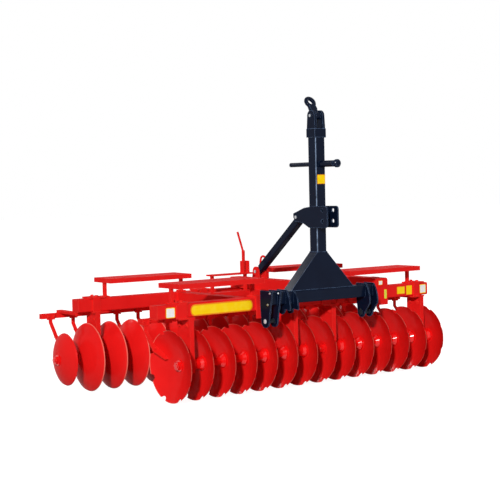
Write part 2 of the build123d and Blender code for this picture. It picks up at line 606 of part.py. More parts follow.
def build_hitch():
    """Lower clevises, the hooks on the left of the cross tube, and the webs and pads on the front beam."""
    shift = (CLEVIS_GAP + PLATE_T) / 2
    plates = []
    for middle in (-HITCH_HALF, HITCH_HALF):
        bore = Pos(middle, HITCH_Y, HITCH_Z) * Rot(0, 90, 0) * Cylinder(HITCH_BORE_R, 3 * CLEVIS_GAP)
        plates += [hitch_plate(middle + d, HITCH_Z, straight=middle < 0) - bore for d in (-shift, shift)]
    save("lower_clevis_plates", *plates)
    hook_tail = HITCH_Z + 88
    save("tube_hooks", *[hitch_plate(x, hook_tail, CROSS_TUBE_TOP + top) for x, top in zip(HOOK_X, (14, -2))])
    place = ROWS["front"][0]
    behind = place * box((-2500, 2500), (-BEAM / 2 - PLATE_T, BEAM), (BEAM_TOP - 2 * BEAM, BEAM_TOP + BEAM))
    webs, pads = [], []
    for x in BRACKET_X:
        web = box((x - PLATE_T / 2, x + PLATE_T / 2), (HEAD_FRONT + TUBE, 0), (CROSS_TUBE_TOP - TUBE, BEAM_TOP))
        webs.append(web - behind)
        left = x == min(BRACKET_X)
        ends = LEFT_PAD if left else (x - PAD_HALF, x + PAD_HALF)
        low = BEAM_TOP - BEAM - (LEFT_PAD_DROP if left else 0)
        high = BEAM_TOP + (PLATE_T + 4 if left else 0)
        pads.append(place * box(ends, (-BEAM / 2 - PLATE_T, -BEAM / 2), (low, high)))
    save("headstock_brackets", *webs)
    save("headstock_pads", *pads)


def build_mast_head():
    """Clevis on the mast, its pin, the swinging eye and the long pin lower down."""
    block = box((-58, 58), (HEAD_Y - 54, HEAD_Y + 54), (MAST_TOP, MAST_TOP + EYE_BLOCK))
    ear = make_face(Polyline((HEAD_Y - 52, MAST_TOP + EYE_BLOCK), (HEAD_Y + 52, MAST_TOP + EYE_BLOCK),
                             (HEAD_Y + EYE_EAR_R, EYE_PIN_Z), (HEAD_Y - EYE_EAR_R, EYE_PIN_Z), close=True))
    ear += Pos(HEAD_Y, EYE_PIN_Z) * Circle(EYE_EAR_R)
    ear -= Pos(HEAD_Y, EYE_PIN_Z) * Circle(EYE_PIN_R + PIN_CLEAR)
    clevis = block
    for x in (-43, 43):
        clevis += plate_x(ear, x, EYE_PLATE_T)
    save("mast_top_clevis", clevis)
    MAST_PINS.append(Pos(0, HEAD_Y, EYE_PIN_Z) * Rot(0, 90, 0) * Cylinder(EYE_PIN_R, 130))
    save("mast_pins", *MAST_PINS)

    low, high = SHANK_W[0] / 2, SHANK_W[1] / 2
    bend, tip = EYE_EAR_R + 6, EYE_REACH - EYE_MID_R + 6
    flat = make_face(Polyline((-low, 0), (low, 0), (low, bend), (high, bend + 14), (high - 4, tip), (4 - high, tip),
                              (-high, bend + 14), (-low, bend), close=True))
    link = extrude(Plane.XZ.offset(-EYE_T / 2) * flat, EYE_T)
    link += Rot(0, 90, 0) * Cylinder(BOSS_R, SHANK_W[0])
    link += Pos(0, 0, EYE_REACH) * Rot(90, 0, 0) * Torus(EYE_MID_R, EYE_ROUND_R)
    link -= Rot(0, 90, 0) * Cylinder(EYE_PIN_R + PIN_CLEAR, 2 * TUBE)
    save("lifting_eye", Pos(0, HEAD_Y, EYE_PIN_Z) * Rot(-EYE_LEAN, 0, 0) * link)

    pts = [(PIN_FRONT, 0), (PIN_FRONT, PIN_HEAD_R - 8), (PIN_FRONT + 8, PIN_HEAD_R), (PIN_FRONT + 26, PIN_HEAD_R),
           (PIN_FRONT + 32, PIN_R), (PIN_FRONT + 52, PIN_R), (PIN_FRONT + 52, PIN_SLEEVE_R),
           (HEAD_FRONT, PIN_SLEEVE_R), (HEAD_FRONT, PIN_R), (PIN_REAR, PIN_R), (PIN_REAR, 0)]
    pin = Pos(0, 0, PIN_Z) * Rot(0, 0, 90) * revolve_x(pts)
    save("mast_long_pin", pin)


def build_lever():
    """Slotted plate on two posts, the cheeks on it and the lever that works between them."""
    low = QUADRANT_TOP - QUADRANT_T
    solid = box(QUADRANT, (LEVER_Y - QUADRANT_HALF, LEVER_Y + QUADRANT_HALF), (low, QUADRANT_TOP))
    solid -= box((QUADRANT[0] + SLOT_IN, LEVER_X - SLOT_IN), (LEVER_Y - SLOT_HALF, LEVER_Y + SLOT_HALF),
                 (low - QUADRANT_T, QUADRANT_TOP + QUADRANT_T))
    middle = sum(LEVER_CHEEKS) / 2
    for x in (QUADRANT[0] + SLOT_IN / 2, middle):
        solid += box((x - SLOT_HALF, x + SLOT_HALF), (LEVER_Y - SLOT_HALF, LEVER_Y + SLOT_HALF), (BEAM_TOP, low))
    thick, deep, high = CHEEK_SIZE
    for x in LEVER_CHEEKS:
        solid += box((x - thick / 2, x + thick / 2), (LEVER_Y - deep / 2, LEVER_Y + deep / 2),
                     (QUADRANT_TOP, QUADRANT_TOP + high))
    save("angle_quadrant", solid)
    thick, deep, high = LEVER_BAR
    bar = box((LEVER_X - thick / 2, LEVER_X + thick / 2), (LEVER_Y - deep / 2, LEVER_Y + deep / 2),
              (QUADRANT_TOP, QUADRANT_TOP + high))
    foot = QUADRANT_TOP + high - deep / 2
    rise = hypot(LEVER_TIP[0] - LEVER_X, LEVER_TIP[1] - foot)
    lean = degrees(atan2(LEVER_TIP[0] - LEVER_X, LEVER_TIP[1] - foot))
    rod = Pos(LEVER_X, LEVER_Y, foot) * Rot(0, lean, 0) * Pos(0, 0, rise / 2) * Cylinder(LEVER_R, rise)
    save("lever", bar + rod)


both_rows = {"bearing_housings": [], "leg_clamps": [], "scraper_hangers": []}
for row_name in ROWS:
    build_row(row_name, both_rows)
for node, pieces in both_rows.items():
    save(node, *pieces)
build_frame()
build_trays()
build_headstock()
build_brace()
build_hitch()
build_mast_head()
build_lever()
write_nodes()
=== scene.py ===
# %% [markdown]
# # A mounted disc harrow, finished around its CAD frame
# The CAD model already holds every load-carrying piece at its real size. This notebook adds what
# a painter, a fitter and a sign writer add: paints, loose pins, hexagon bolts, weld beads, beam
# caps and blank vinyl labels. Each step says what the piece is on the real machine, how it could
# be made, and why it is made this way. The frame is loaded first: its objects stay as they are
# and get finishes.

# %% Load the frame
import bpy
import bmesh
import json
from math import cos, pi, radians, sin
from mathutils import Matrix, Vector


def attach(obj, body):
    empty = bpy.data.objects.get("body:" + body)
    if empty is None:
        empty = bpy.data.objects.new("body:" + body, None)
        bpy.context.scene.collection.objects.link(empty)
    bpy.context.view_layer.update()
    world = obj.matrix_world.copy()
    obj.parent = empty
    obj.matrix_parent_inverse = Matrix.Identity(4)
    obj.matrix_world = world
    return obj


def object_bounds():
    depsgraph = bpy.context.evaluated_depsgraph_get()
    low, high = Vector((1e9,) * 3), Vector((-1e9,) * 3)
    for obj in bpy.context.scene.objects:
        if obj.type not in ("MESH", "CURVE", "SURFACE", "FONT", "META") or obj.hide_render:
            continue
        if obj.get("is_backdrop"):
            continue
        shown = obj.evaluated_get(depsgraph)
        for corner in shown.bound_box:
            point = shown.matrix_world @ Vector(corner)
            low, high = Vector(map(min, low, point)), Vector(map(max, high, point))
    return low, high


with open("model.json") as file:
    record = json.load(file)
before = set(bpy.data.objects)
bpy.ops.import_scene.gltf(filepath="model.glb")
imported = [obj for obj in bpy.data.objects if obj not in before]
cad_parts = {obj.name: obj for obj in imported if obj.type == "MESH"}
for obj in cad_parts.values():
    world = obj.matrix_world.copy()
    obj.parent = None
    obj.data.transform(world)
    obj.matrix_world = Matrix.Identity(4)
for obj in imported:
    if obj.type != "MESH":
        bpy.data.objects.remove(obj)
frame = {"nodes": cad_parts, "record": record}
CAD_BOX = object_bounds()
record = frame["record"]

# %% [markdown]
# ## One origin for every measure
# All measures below are taken from the middle of the front row of discs, on the ground. The
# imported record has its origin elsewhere. The step between the two could be typed, but it would go
# wrong when the model is packed again, so it comes from one hole that is known in both: the one
# in the outer plate of the left lower clevis. Each row of discs is turned a little, and has its
# own matrix.

# %% Places and directions
MOUNTS = {mount["name"]: Vector(mount["pos_m"]) for mount in record["mounts"]}
HITCH_X, HITCH_Y, HITCH_Z = 0.505, -0.195, 0.576  # middle of the right lower clevis
OUTER_PLATE_X = 0.548
ORIGIN = MOUNTS["lower_left_clevis_outer_hole"] - Vector((-OUTER_PLATE_X, HITCH_Y, HITCH_Z))
ROW_ANGLE = radians(1.55)
REAR_ROW = Vector((-0.1504, 0.911, 0))  # middle of the rear row
AXIS_Z = 0.28  # height of the disc axes
BEAM, BEAM_TOP = 0.109, 0.761
ROWS = {
    "front": Matrix.Translation(ORIGIN) @ Matrix.Rotation(ROW_ANGLE, 4, "Z"),
    "rear": Matrix.Translation(ORIGIN + REAR_ROW) @ Matrix.Rotation(-ROW_ANGLE, 4, "Z"),
}
HERE = Matrix.Translation(ORIGIN)
print("origin of the measures:", [round(v, 4) for v in ORIGIN])

# %% [markdown]
# ## The camera
# The photograph was taken from the front left at about eye height, with a long lens. A camera
# could be turned by eye until it looks right. Here its place and turn were fitted to the discs,
# so the same pixel shows the same point. Its three axes are worked out from yaw, pitch and roll
# and make its matrix.

# %% Camera
IMAGE = 500
FOCAL_PIXELS = 1283.78
SENSOR_MM = 36
YAW, PITCH, ROLL = radians(36.589), radians(2.801), radians(-1.237)
EYE = Vector((-6.6583, -8.2377, 1.6389))

ahead = Vector((sin(YAW) * cos(PITCH), cos(YAW) * cos(PITCH), -sin(PITCH)))
level = Vector((cos(YAW), -sin(YAW), 0))
above = level.cross(ahead)
right = cos(ROLL) * level + sin(ROLL) * above
up = -sin(ROLL) * level + cos(ROLL) * above
camera_data = bpy.data.cameras.new("photo_camera")
camera_data.sensor_fit = "HORIZONTAL"
camera_data.sensor_width = SENSOR_MM
camera_data.lens = FOCAL_PIXELS / IMAGE * SENSOR_MM
camera = bpy.data.objects.new("photo_camera", camera_data)
turn = Matrix((right, up, -ahead)).transposed().to_4x4()
camera.matrix_world = Matrix.Translation(EYE + ORIGIN) @ turn
bpy.context.scene.collection.objects.link(camera)
bpy.context.scene.camera = camera
print("lens:", round(camera_data.lens, 2), "mm")

# %% [markdown]
# ## Helpers for finishes
# Colours are written as sRGB hex values, as a paint card gives them, and turned to the linear
# values that a shader reads. Nodes could be placed by hand in the editor. In code one function
# adds a node with its settings and links, and one gives inputs to a node that is already there.
# Nearly every finish starts from soft patches of a known size, so they have a helper too.


# %% Colour and node helpers
def linear(hex_colour):
    """(r, g, b, 1) in linear light from an sRGB hex value such as E31E1E."""
    channels = [int(hex_colour[k:k + 2], 16) / 255 for k in (0, 2, 4)]
    return tuple(c / 12.92 if c <= 0.04045 else ((c + 0.055) / 1.055) ** 2.4
                 for c in channels) + (1.0,)


def put(tree, node, **inputs):
    """Give a node's inputs, by name or by number as i0: numbers, colours or sockets."""
    for name, value in inputs.items():
        key = int(name[1:]) if name[0] == "i" and name[1:].isdigit() else name.replace("_", " ")
        if isinstance(value, bpy.types.NodeSocket):
            tree.links.new(value, node.inputs[key])
        else:
            node.inputs[key].default_value = value


def add(tree, kind, settings=None, **inputs):
    """Add a node: settings are its own properties, inputs are as in put."""
    node = tree.nodes.new(kind)
    for name, value in (settings or {}).items():
        setattr(node, name, value)
    put(tree, node, **inputs)
    return node


def new_material(name):
    """Empty material with its shader and output; returns (material, tree, shader)."""
    material = bpy.data.materials.new(name)
    material.use_nodes = True
    tree = material.node_tree
    tree.nodes.clear()
    shader = add(tree, "ShaderNodeBsdfPrincipled")
    add(tree, "ShaderNodeOutputMaterial", Surface=shader.outputs[0])
    return material, tree, shader


def cloudy(tree, metres, detail=3.0):
    """Soft patches about metres across, from 0 to 1, held to the piece by Object coordinates."""
    place = add(tree, "ShaderNodeTexCoord").outputs["Object"]
    noise = add(tree, "ShaderNodeTexNoise", Vector=place, Scale=1 / metres, Detail=detail)
    return noise.outputs[0]


# Settings that several nodes share. A colour mix has its factor at input 0, its two colours at 6
# and 7, and its result at output 2.
COLOUR_MIX = {"data_type": "RGBA"}
LARGER = {"operation": "MAXIMUM"}

# %% [markdown]
# ## Paler edges: wear and painted highlight
# Sprayed paint is thin on edges and gets rubbed there first, so the edges take a paler tone in
# rubbed patches, and the same tone is also a painted highlight along them. On a box section's
# rounded corners the pale line is only a painted highlight: a line of sky drawn into the colour.
# Wear could be painted by hand on each piece, but the shader can find the places. The Bevel node
# gives the normal that a rounded edge would have, and where it leaves the true normal there is an
# edge. A box section that stands square to the axes has a normal with one large part on its flats
# and two middling ones on its round corners, so the largest part tells them apart.

# %% Edge and corner masks
EDGE_SAMPLES = 6
FLAT_MATCH, EDGE_MATCH = 0.99, 0.86  # rounded normal times true normal: on a flat, on an edge
FLAT_PART, CORNER_PART = 0.93, 0.65  # largest squared part of the normal: on a flat, on a corner


# Edges found here take the paler tone: rubbed wear in patches, and a painted highlight.
def edge_mask(tree, radius):
    """1 on edges and 0 on flats, out to radius from the edge."""
    rounded = add(tree, "ShaderNodeBevel", {"samples": EDGE_SAMPLES}, Radius=radius).outputs[0]
    true = add(tree, "ShaderNodeNewGeometry").outputs["Normal"]
    match = add(tree, "ShaderNodeVectorMath", {"operation": "DOT_PRODUCT"}, i0=rounded, i1=true)
    return add(tree, "ShaderNodeMapRange", Value=match.outputs["Value"], From_Min=FLAT_MATCH,
               From_Max=EDGE_MATCH).outputs[0]


# The mast's corners get a pale tone from this mask: a painted highlight, a line of sky drawn into the
# colour.
def corner_highlight_mask(tree):
    """1 on the rounded corners of a box section that stands square to the axes, 0 on its flats."""
    normal = add(tree, "ShaderNodeTexCoord").outputs["Normal"]
    squared = add(tree, "ShaderNodeVectorMath", {"operation": "MULTIPLY"}, i0=normal, i1=normal)
    parts = add(tree, "ShaderNodeSeparateXYZ", Vector=squared.outputs[0]).outputs
    level_part = add(tree, "ShaderNodeMath", LARGER, i0=parts[0], i1=parts[1]).outputs[0]
    largest = add(tree, "ShaderNodeMath", LARGER, i0=level_part, i1=parts[2]).outputs[0]
    return add(tree, "ShaderNodeMapRange", Value=largest, From_Min=FLAT_PART,
               From_Max=CORNER_PART).outputs[0]


# %% [markdown]
# ## Alkyd enamel
# Farm machines are sprayed with alkyd enamel over primer and shipped before they have seen a
# field. The film is slightly uneven, called orange peel, with grains about 3 mm across, and its
# IOR is near 1.5. The tone drifts in clouds as wide as a spray pass, and dust takes a little
# gloss off in patches. One flat colour would look like plastic. A full specular layer would
# mirror the white studio on every face and bleach the red, so the base layer reflects very little
# and a thin coat gives the shine.

# %% Enamel
# The second size is that of the patches of the paler edge tone: rubbed wear, and a painted highlight.
CLOUD, EDGE_TONE_PATCH, DUST, PEEL = 0.18, 0.05, 0.07, 0.003  # metres: tone, rubbed patches, dust, grains
DUST_DULLS = 0.12  # roughness that dust adds
PEEL_STRENGTH, PEEL_DEPTH = 0.05, 0.001
ENAMEL_IOR, BASE_SHINE, COAT_ROUGHNESS = 1.5, 0.01, 0.15


def enamel(name, colour, deep, gloss, shine, edge=None, edge_width=0.005, corner_highlights=False):
    """Sprayed enamel: deep clouds, gloss as roughness, shine as coat, edge as the paler edge tone of
    rubbed wear and painted highlight.
    """
    material, tree, shader = new_material(name)
    cloud = add(tree, "ShaderNodeMapRange", Value=cloudy(tree, CLOUD), From_Min=0.35, From_Max=0.75)
    tone = add(tree, "ShaderNodeMix", COLOUR_MIX, i0=cloud.outputs[0], i6=linear(colour),
               i7=linear(deep)).outputs[2]
    # Paler edges: rubbed wear in patches and a painted highlight along the edge; with the corner option
    # also a painted highlight on the corners.
    if edge:
        patchy = add(tree, "ShaderNodeMapRange", Value=cloudy(tree, EDGE_TONE_PATCH, 4.0), From_Min=0.25,
                     From_Max=0.55).outputs[0]
        where = edge_mask(tree, edge_width)
        if corner_highlights:
            where = add(tree, "ShaderNodeMath", LARGER, i0=where, i1=corner_highlight_mask(tree)).outputs[0]
        rubbed_and_highlit = add(tree, "ShaderNodeMath", {"operation": "MULTIPLY"}, i0=where, i1=patchy)
        tone = add(tree, "ShaderNodeMix", COLOUR_MIX, i0=rubbed_and_highlit.outputs[0], i6=tone,
                   i7=linear(edge)).outputs[2]
    dusty = add(tree, "ShaderNodeMapRange", Value=cloudy(tree, DUST, 5.0), From_Min=0.35,
                From_Max=0.8, To_Min=gloss, To_Max=gloss + DUST_DULLS)
    grain = add(tree, "ShaderNodeBump", Strength=PEEL_STRENGTH, Distance=PEEL_DEPTH,
                Height=cloudy(tree, PEEL, 1.0))
    put(tree, shader, Base_Color=tone, Roughness=dusty.outputs[0], Normal=grain.outputs[0],
        IOR=ENAMEL_IOR, Specular_IOR_Level=BASE_SHINE, Coat_Weight=shine,
        Coat_Roughness=COAT_ROUGHNESS)
    return material


# %% [markdown]
# ## The two paints
# The frame is red, and the headstock is a blue so deep that it reads as black. The mast is a box
# section whose long round corners catch pale lines of light; its version of the paint draws these
# lines into its colour as a painted highlight, through the corner mask. The edge tones, partly
# rubbed wear and partly painted highlight, are drawn 3 to 5 mm wide, which is as coarse as they
# need to be to show.

# %% Frame, headstock and mast enamel
BLUE_BLACK = ("0C162A", "091124", 0.5, 0.14)
# The last colour of each paint is its paler edge tone, rubbed wear and a painted highlight; on the mast
# it also makes the painted highlight of the corners.
RED_ENAMEL = enamel("red_alkyd_enamel", "EA2220", "E21D1C", 0.55, 0.03, "F0503F", 0.003)
BLACK_ENAMEL = enamel("blue_black_enamel", *BLUE_BLACK, "62789A")
MAST_ENAMEL = enamel("blue_black_mast_enamel", *BLUE_BLACK, "8093AE", corner_highlights=True)
print("enamels:", RED_ENAMEL.name, BLACK_ENAMEL.name, MAST_ENAMEL.name)

# %% [markdown]
# ## Bright zinc
# Pins and bolts are zinc plated after turning: a pale bluish metal, slightly streaky, with fine
# lathe marks. A metal is fully metallic and keeps the default IOR, and its colour does the rest.
# The two tones and the change of gloss come from one pattern, since a streak is both darker and
# duller. The same recipe serves the pins and the lacquer below, so it is a function.


# %% Mottled finish and zinc plate
def mottled(name, patch, detail, pale, dark, smooth, rough):
    """Finish in patches of that many metres, from pale and smooth to dark and rough."""
    material, tree, shader = new_material(name)
    pattern = cloudy(tree, patch, detail)
    tone = add(tree, "ShaderNodeMix", COLOUR_MIX, i0=pattern, i6=linear(pale), i7=linear(dark))
    dull = add(tree, "ShaderNodeMapRange", Value=pattern, To_Min=smooth, To_Max=rough)
    put(tree, shader, Base_Color=tone.outputs[2], Roughness=dull.outputs[0])
    return material, tree, shader


ZINC, tree, shader = mottled("zinc_plated_steel", 0.006, 4.0, "C9CBCD", "A9ABB0", 0.22, 0.38)
lathe = add(tree, "ShaderNodeBump", Strength=0.06, Distance=0.0005,
            Height=cloudy(tree, 0.0015, 1.0))
put(tree, shader, Normal=lathe.outputs[0], Metallic=1.0)
print("zinc:", ZINC.name)

# %% [markdown]
# ## Phosphated pins
# The loose hitch pins are hardened, phosphated and oiled: a dark grey, fine crystal skin that
# looks almost black. It is a mineral skin, so it isn't metallic. Real crystals are far below a
# millimetre and are drawn 4 mm wide, as coarse as they need to be to show.

# %% Phosphated steel
PHOSPHATED, tree, shader = mottled("phosphated_steel", 0.004, 3.0, "2A2D33", "15171B", 0.35, 0.6)
put(tree, shader, IOR=1.5, Specular_IOR_Level=0.1)
print("pin finish:", PHOSPHATED.name)

# %% [markdown]
# ## Pale pin ends
# The outer ends of the pins take a pale paint that stands for the small bright spot of light on
# them: a painted highlight. It is pale and evenly bright from all sides, where bare metal would be
# bright from one side and dark from the next. So it is a pale paint with an IOR of 1.5, not a
# metal.

# %% Pale paint for the painted highlight on the pin ends
PIN_END_GLINT, tree, shader = mottled("pin_end_painted_glint", 0.003, 3.0, "E2E3E5", "C4C6CA", 0.3, 0.45)
put(tree, shader, IOR=1.5)
print("pin end finish:", PIN_END_GLINT.name)

# %% [markdown]
# ## Dressing the CAD nodes
# Every solid of the CAD model is one object with one material slot, and the record says which
# paint it wears. The finishes could be given one by one, but going through the record misses
# none.

# %% Dress the CAD nodes
SLOT_FINISH = {"red_paint": RED_ENAMEL, "black_paint": BLACK_ENAMEL, "zinc_steel": ZINC}
for part in record["subparts"]:
    mesh = frame["nodes"][part["node"]].data
    mesh.materials.clear()
    mesh.materials.append(SLOT_FINISH[part["material_slot"]])
frame["nodes"]["mast"].data.materials[0] = MAST_ENAMEL
print("dressed nodes:", len(record["subparts"]))

# %% [markdown]
# ## Discs with a paler rim
# A disc is pressed from boron steel and painted, and its bevelled rim is the first place where
# handling rubs the paint thin; the pale rim also stands for the thin line of light that the rim
# catches, so it is partly wear and partly a painted highlight. The rim could be a second material
# on its own faces, but a CAD mesh stays as it is. Every disc of a row has the same axis, so the
# distance from that axis, worked out from the Object coordinates, tells the shader where the rim
# is. Two rows need two such materials.

# %% Disc enamel
RIM_START, RIM_END = 0.2755, 0.277  # distance from the axis where the bevel begins and is full


def disc_enamel(row):
    """Red enamel that turns paler on the bevel of the rim of each disc in one row: worn paint and a
    painted highlight.
    """
    material = enamel("red_disc_enamel_" + row, "E81C1B", "E01716", 0.45, 0.12)
    tree = material.node_tree
    shader = next(node for node in tree.nodes if node.type == "BSDF_PRINCIPLED")
    place = add(tree, "ShaderNodeTexCoord").outputs["Object"]
    centre = ROWS[row] @ Vector((0, 0, AXIS_Z))
    along = (ROWS[row].to_3x3() @ Vector((1, 0, 0))).normalized()
    arm = add(tree, "ShaderNodeVectorMath", {"operation": "SUBTRACT"}, i0=place, i1=centre)
    side = add(tree, "ShaderNodeVectorMath", {"operation": "CROSS_PRODUCT"}, i0=arm.outputs[0],
               i1=along)
    far = add(tree, "ShaderNodeVectorMath", {"operation": "LENGTH"}, i0=side.outputs[0])
    bevel = add(tree, "ShaderNodeMapRange", Value=far.outputs["Value"], From_Min=RIM_START,
                From_Max=RIM_END)
    paint = shader.inputs["Base Color"].links[0].from_socket
    # The pale rim tone: worn paint and a painted highlight along the rim.
    worn_and_highlit = add(tree, "ShaderNodeMix", COLOUR_MIX, i0=bevel.outputs[0], i6=paint,
               i7=linear("EE6A5C"))
    put(tree, shader, Base_Color=worn_and_highlit.outputs[2])
    return material


# %% [markdown]
# The spools between the discs are castings with a thick, very glossy coat, which shows as white
# dots of light on their round ends. They take the same enamel with nearly a full coat.

# %% Discs and gang shafts
AXLE_ENAMEL = enamel("red_axle_gloss_enamel", "E81414", "E01010", 0.4, 0.9)
for row in ROWS:
    rim_finish = disc_enamel(row)
    for half in ("left", "right"):
        frame["nodes"][f"{row}_{half}_discs"].data.materials[0] = rim_finish
        frame["nodes"][f"{row}_{half}_axle"].data.materials[0] = AXLE_ENAMEL
print("disc finishes:", [m.name for m in bpy.data.materials if "disc" in m.name])

# %% [markdown]
# ## How a small piece is made
# Bolts, beads and labels are built in one bmesh per kind, then finished by one function: it turns
# the normals outwards, marks edges sharper than 35 degrees as sharp so that round faces shade
# smoothly, and lets the piece ride on its body. One object per bolt would work too, but hundreds
# of small objects are slow to handle.

# %% Finish a piece
SHARP = radians(35)
PIECES = []


def finish_piece(name, mesh, materials, body="frame"):
    """Make an object of the bmesh, with its finishes, on its body."""
    bmesh.ops.recalc_face_normals(mesh, faces=mesh.faces)
    for face in mesh.faces:
        face.smooth = True
    for edge in mesh.edges:
        edge.smooth = edge.is_manifold and edge.calc_face_angle(0) < SHARP
    data = bpy.data.meshes.new(name)
    mesh.to_mesh(data)
    mesh.free()
    for material in materials:
        data.materials.append(material)
    piece = bpy.data.objects.new(name, data)
    bpy.context.scene.collection.objects.link(piece)
    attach(piece, body)
    PIECES.append(piece)
    print(name, len(data.polygons), "faces")


# %% [markdown]
# ## Where a small piece goes
# A bolt or bead needs a spot and a direction. Moving and turning each piece after it is made
# would leave turned objects, so each shape is made in place through a matrix, and the object
# stays at the origin. Bevels and spins take lists of edges, so one more helper gathers the edges
# at given points, each of them once.


# %% Place helpers
def facing(spot, out, spin=0.0):
    """Matrix at spot whose Z axis points out, turned about it by spin."""
    outward = Vector(out).to_track_quat("Z", "Y").to_matrix().to_4x4()
    return Matrix.Translation(spot) @ outward @ Matrix.Rotation(spin, 4, "Z")


def on_row(row, along, across, height):
    """Point in a row's own measures, in metres."""
    return ROWS[row] @ Vector((along, across, height))


def row_turn(row, out):
    """Direction in a row's own measures, as the world sees it."""
    return ROWS[row].to_3x3() @ Vector(out)


def edges_of(verts):
    """The edges at these points, each of them once."""
    return list(dict.fromkeys(edge for vert in verts for edge in vert.link_edges))


# %% [markdown]
# ## Hexagon bolts
# Structural bolts have a chamfered hexagon head on a round washer. The head could be cut by
# planes from a round bar as the real one is, but a six-sided cone shape with equal radii gives it
# at once, and its upper rim is bevelled; the washer is a flat round with a bevel too. Each head
# is turned by a different angle, because a spanner never stops twice at the same place.

# %% Bolt helper
TURN_STEP, TURNS = 0.7, 9  # radians from one head to the next, and how many before it repeats
WASHER_REACH = 0.95  # washer's radius over the width of the head


def hex_bolt(mesh, spot, out, width, height, washer):
    """One head with its washer, which has that thickness; width is across the flats."""
    turned = facing(spot, out, TURN_STEP * (len(mesh.faces) % TURNS))
    flat = bmesh.ops.create_cone(mesh, cap_ends=True, segments=20, radius1=width * WASHER_REACH,
                                 radius2=width * WASHER_REACH, depth=washer,
                                 matrix=turned @ Matrix.Translation((0, 0, washer / 2)))
    head = bmesh.ops.create_cone(mesh, cap_ends=True, segments=6, radius1=width / 3 ** 0.5,
                                 radius2=width / 3 ** 0.5, depth=height,
                                 matrix=turned @ Matrix.Translation((0, 0, washer + height / 2)))
    axis = turned.to_3x3() @ Vector((0, 0, 1))
    rims = []
    for made in (flat, head):
        highest = max(made["verts"], key=lambda vert: vert.co.dot(axis))
        rims += max(highest.link_faces, key=lambda face: len(face.verts)).edges
    bmesh.ops.bevel(mesh, geom=rims, offset=min(washer * 0.3, height * 0.2), affect="EDGES",
                    segments=1, profile=0.5, material=-1)


# %% [markdown]
# ## Bolts of the legs
# Each leg hangs from its beam by straps. The bolt heads stand on the top strap, and four more
# hold the sides of the leg. Distances along the row are those of the CAD: the spool that a leg
# rides on, less the offset that keeps the leg clear of the next rim.

# %% Leg and strap bolts
LEG_HALF, STRAP = 0.020, 0.012
LEGS = [  # row, leg's middle along the row, ends of its top strap from there
    ("front", -1.2024, -0.100, -0.020),
    ("front", -0.1604, -0.120, -0.020),
    ("front", 0.2564, -0.120, -0.020),
    ("front", 1.2984, -0.066, 0.047),
    ("rear", -1.2984, -0.065, 0.080),
    ("rear", -0.2564, -0.065, 0.080),
    ("rear", 0.1604, 0.045, 0.110),
    ("rear", 1.2024, 0.025, 0.100),
]
STRAP_BOLT = (0.024, 0.010, 0.003)  # width across the flats, height of the head, washer
LEG_BOLT = (0.019, 0.008, 0.003)
STRAP_BOLT_OUT = 0.036  # from the beam's middle line
LEG_BOLT_OUT, LEG_BOLT_Z = 0.045, 0.590

bolts = bmesh.new()
for row, middle, low, high in LEGS:
    for across in (-STRAP_BOLT_OUT, STRAP_BOLT_OUT):
        spot = on_row(row, middle + (low + high) / 2, across, BEAM_TOP + STRAP)
        hex_bolt(bolts, spot, (0, 0, 1), *STRAP_BOLT)
    for across in (-LEG_BOLT_OUT, LEG_BOLT_OUT):
        for side in (-1, 1):
            spot = on_row(row, middle + side * LEG_HALF, across, LEG_BOLT_Z)
            hex_bolt(bolts, spot, row_turn(row, (side, 0, 0)), *LEG_BOLT)
finish_piece("leg_bolts", bolts, [RED_ENAMEL])

# %% [markdown]
# ## Bearing housing bolts
# Each housing has a round flange against the leg, held by four bolts on a circle. One bolt could
# be copied by a spin, but all four heads would then be turned alike, so the circle is walked in
# quarter turns, starting at 45 degrees.

# %% Housing bolts
FLANGE_OFF = 0.032  # from the leg's middle to the flange's face
BOLT_CIRCLE = 0.0715  # radius
SMALL_BOLT = (0.010, 0.006, 0.002)

bolts = bmesh.new()
for row, middle, *_ in LEGS:
    side = 1 if row == "front" else -1
    for quarter in range(4):
        angle = pi / 4 + quarter * pi / 2
        spot = on_row(row, middle + side * FLANGE_OFF, BOLT_CIRCLE * cos(angle),
                      AXIS_Z + BOLT_CIRCLE * sin(angle))
        hex_bolt(bolts, spot, row_turn(row, (side, 0, 0)), *SMALL_BOLT)
finish_piece("housing_bolts", bolts, [RED_ENAMEL])

# %% [markdown]
# ## Scraper bolts
# A scraper arm is gripped to the bar by a plate with two bolts. There is one arm for each disc,
# so the spacing is the pitch of the discs, and the arm stands on the hollow side of its disc. An
# array would repeat the pair as well, but the two rows differ in number and side.

# %% Scraper bolts
PITCH_M, GANG = 0.2084, 7  # metres from disc to disc, discs in a gang
STEM_FACE, STEM_Z, STEM_OUT = 0.284, 0.605, 0.0185
GRIP_BOLT = (0.013, 0.007, 0.002)
GRIP_BOLT_STEP = 0.026  # to each side of the stem
RIMS = {"front": [(k + 0.5) * PITCH_M for k in range(-GANG, GANG)],
        "rear": [(k + 0.5) * PITCH_M for k in range(-GANG - 1, GANG)]}

bolts = bmesh.new()
for row, rims in RIMS.items():
    side = 1 if row == "front" else -1
    for rim in rims:
        for step in (-GRIP_BOLT_STEP, GRIP_BOLT_STEP):
            spot = on_row(row, rim - side * STEM_OUT + step, STEM_FACE, STEM_Z)
            hex_bolt(bolts, spot, row_turn(row, (0, -1, 0)), *GRIP_BOLT)
finish_piece("scraper_bolts", bolts, [RED_ENAMEL])

# %% [markdown]
# ## Headstock bolts
# Three bright bolts hold the left clevis to the cross tube. They are the small pale dots in the
# picture, and are placed one by one because they follow no row or circle.

# %% Headstock bolts
CLEVIS_BOLTS = [(-0.554, -0.264, 0.802), (-0.468, -0.262, 0.797), (-0.554, -0.234, 0.711)]

bolts = bmesh.new()
for place in CLEVIS_BOLTS:
    hex_bolt(bolts, HERE @ Vector(place), (-1, 0, 0), *SMALL_BOLT)
finish_piece("clevis_bolts", bolts, [ZINC])

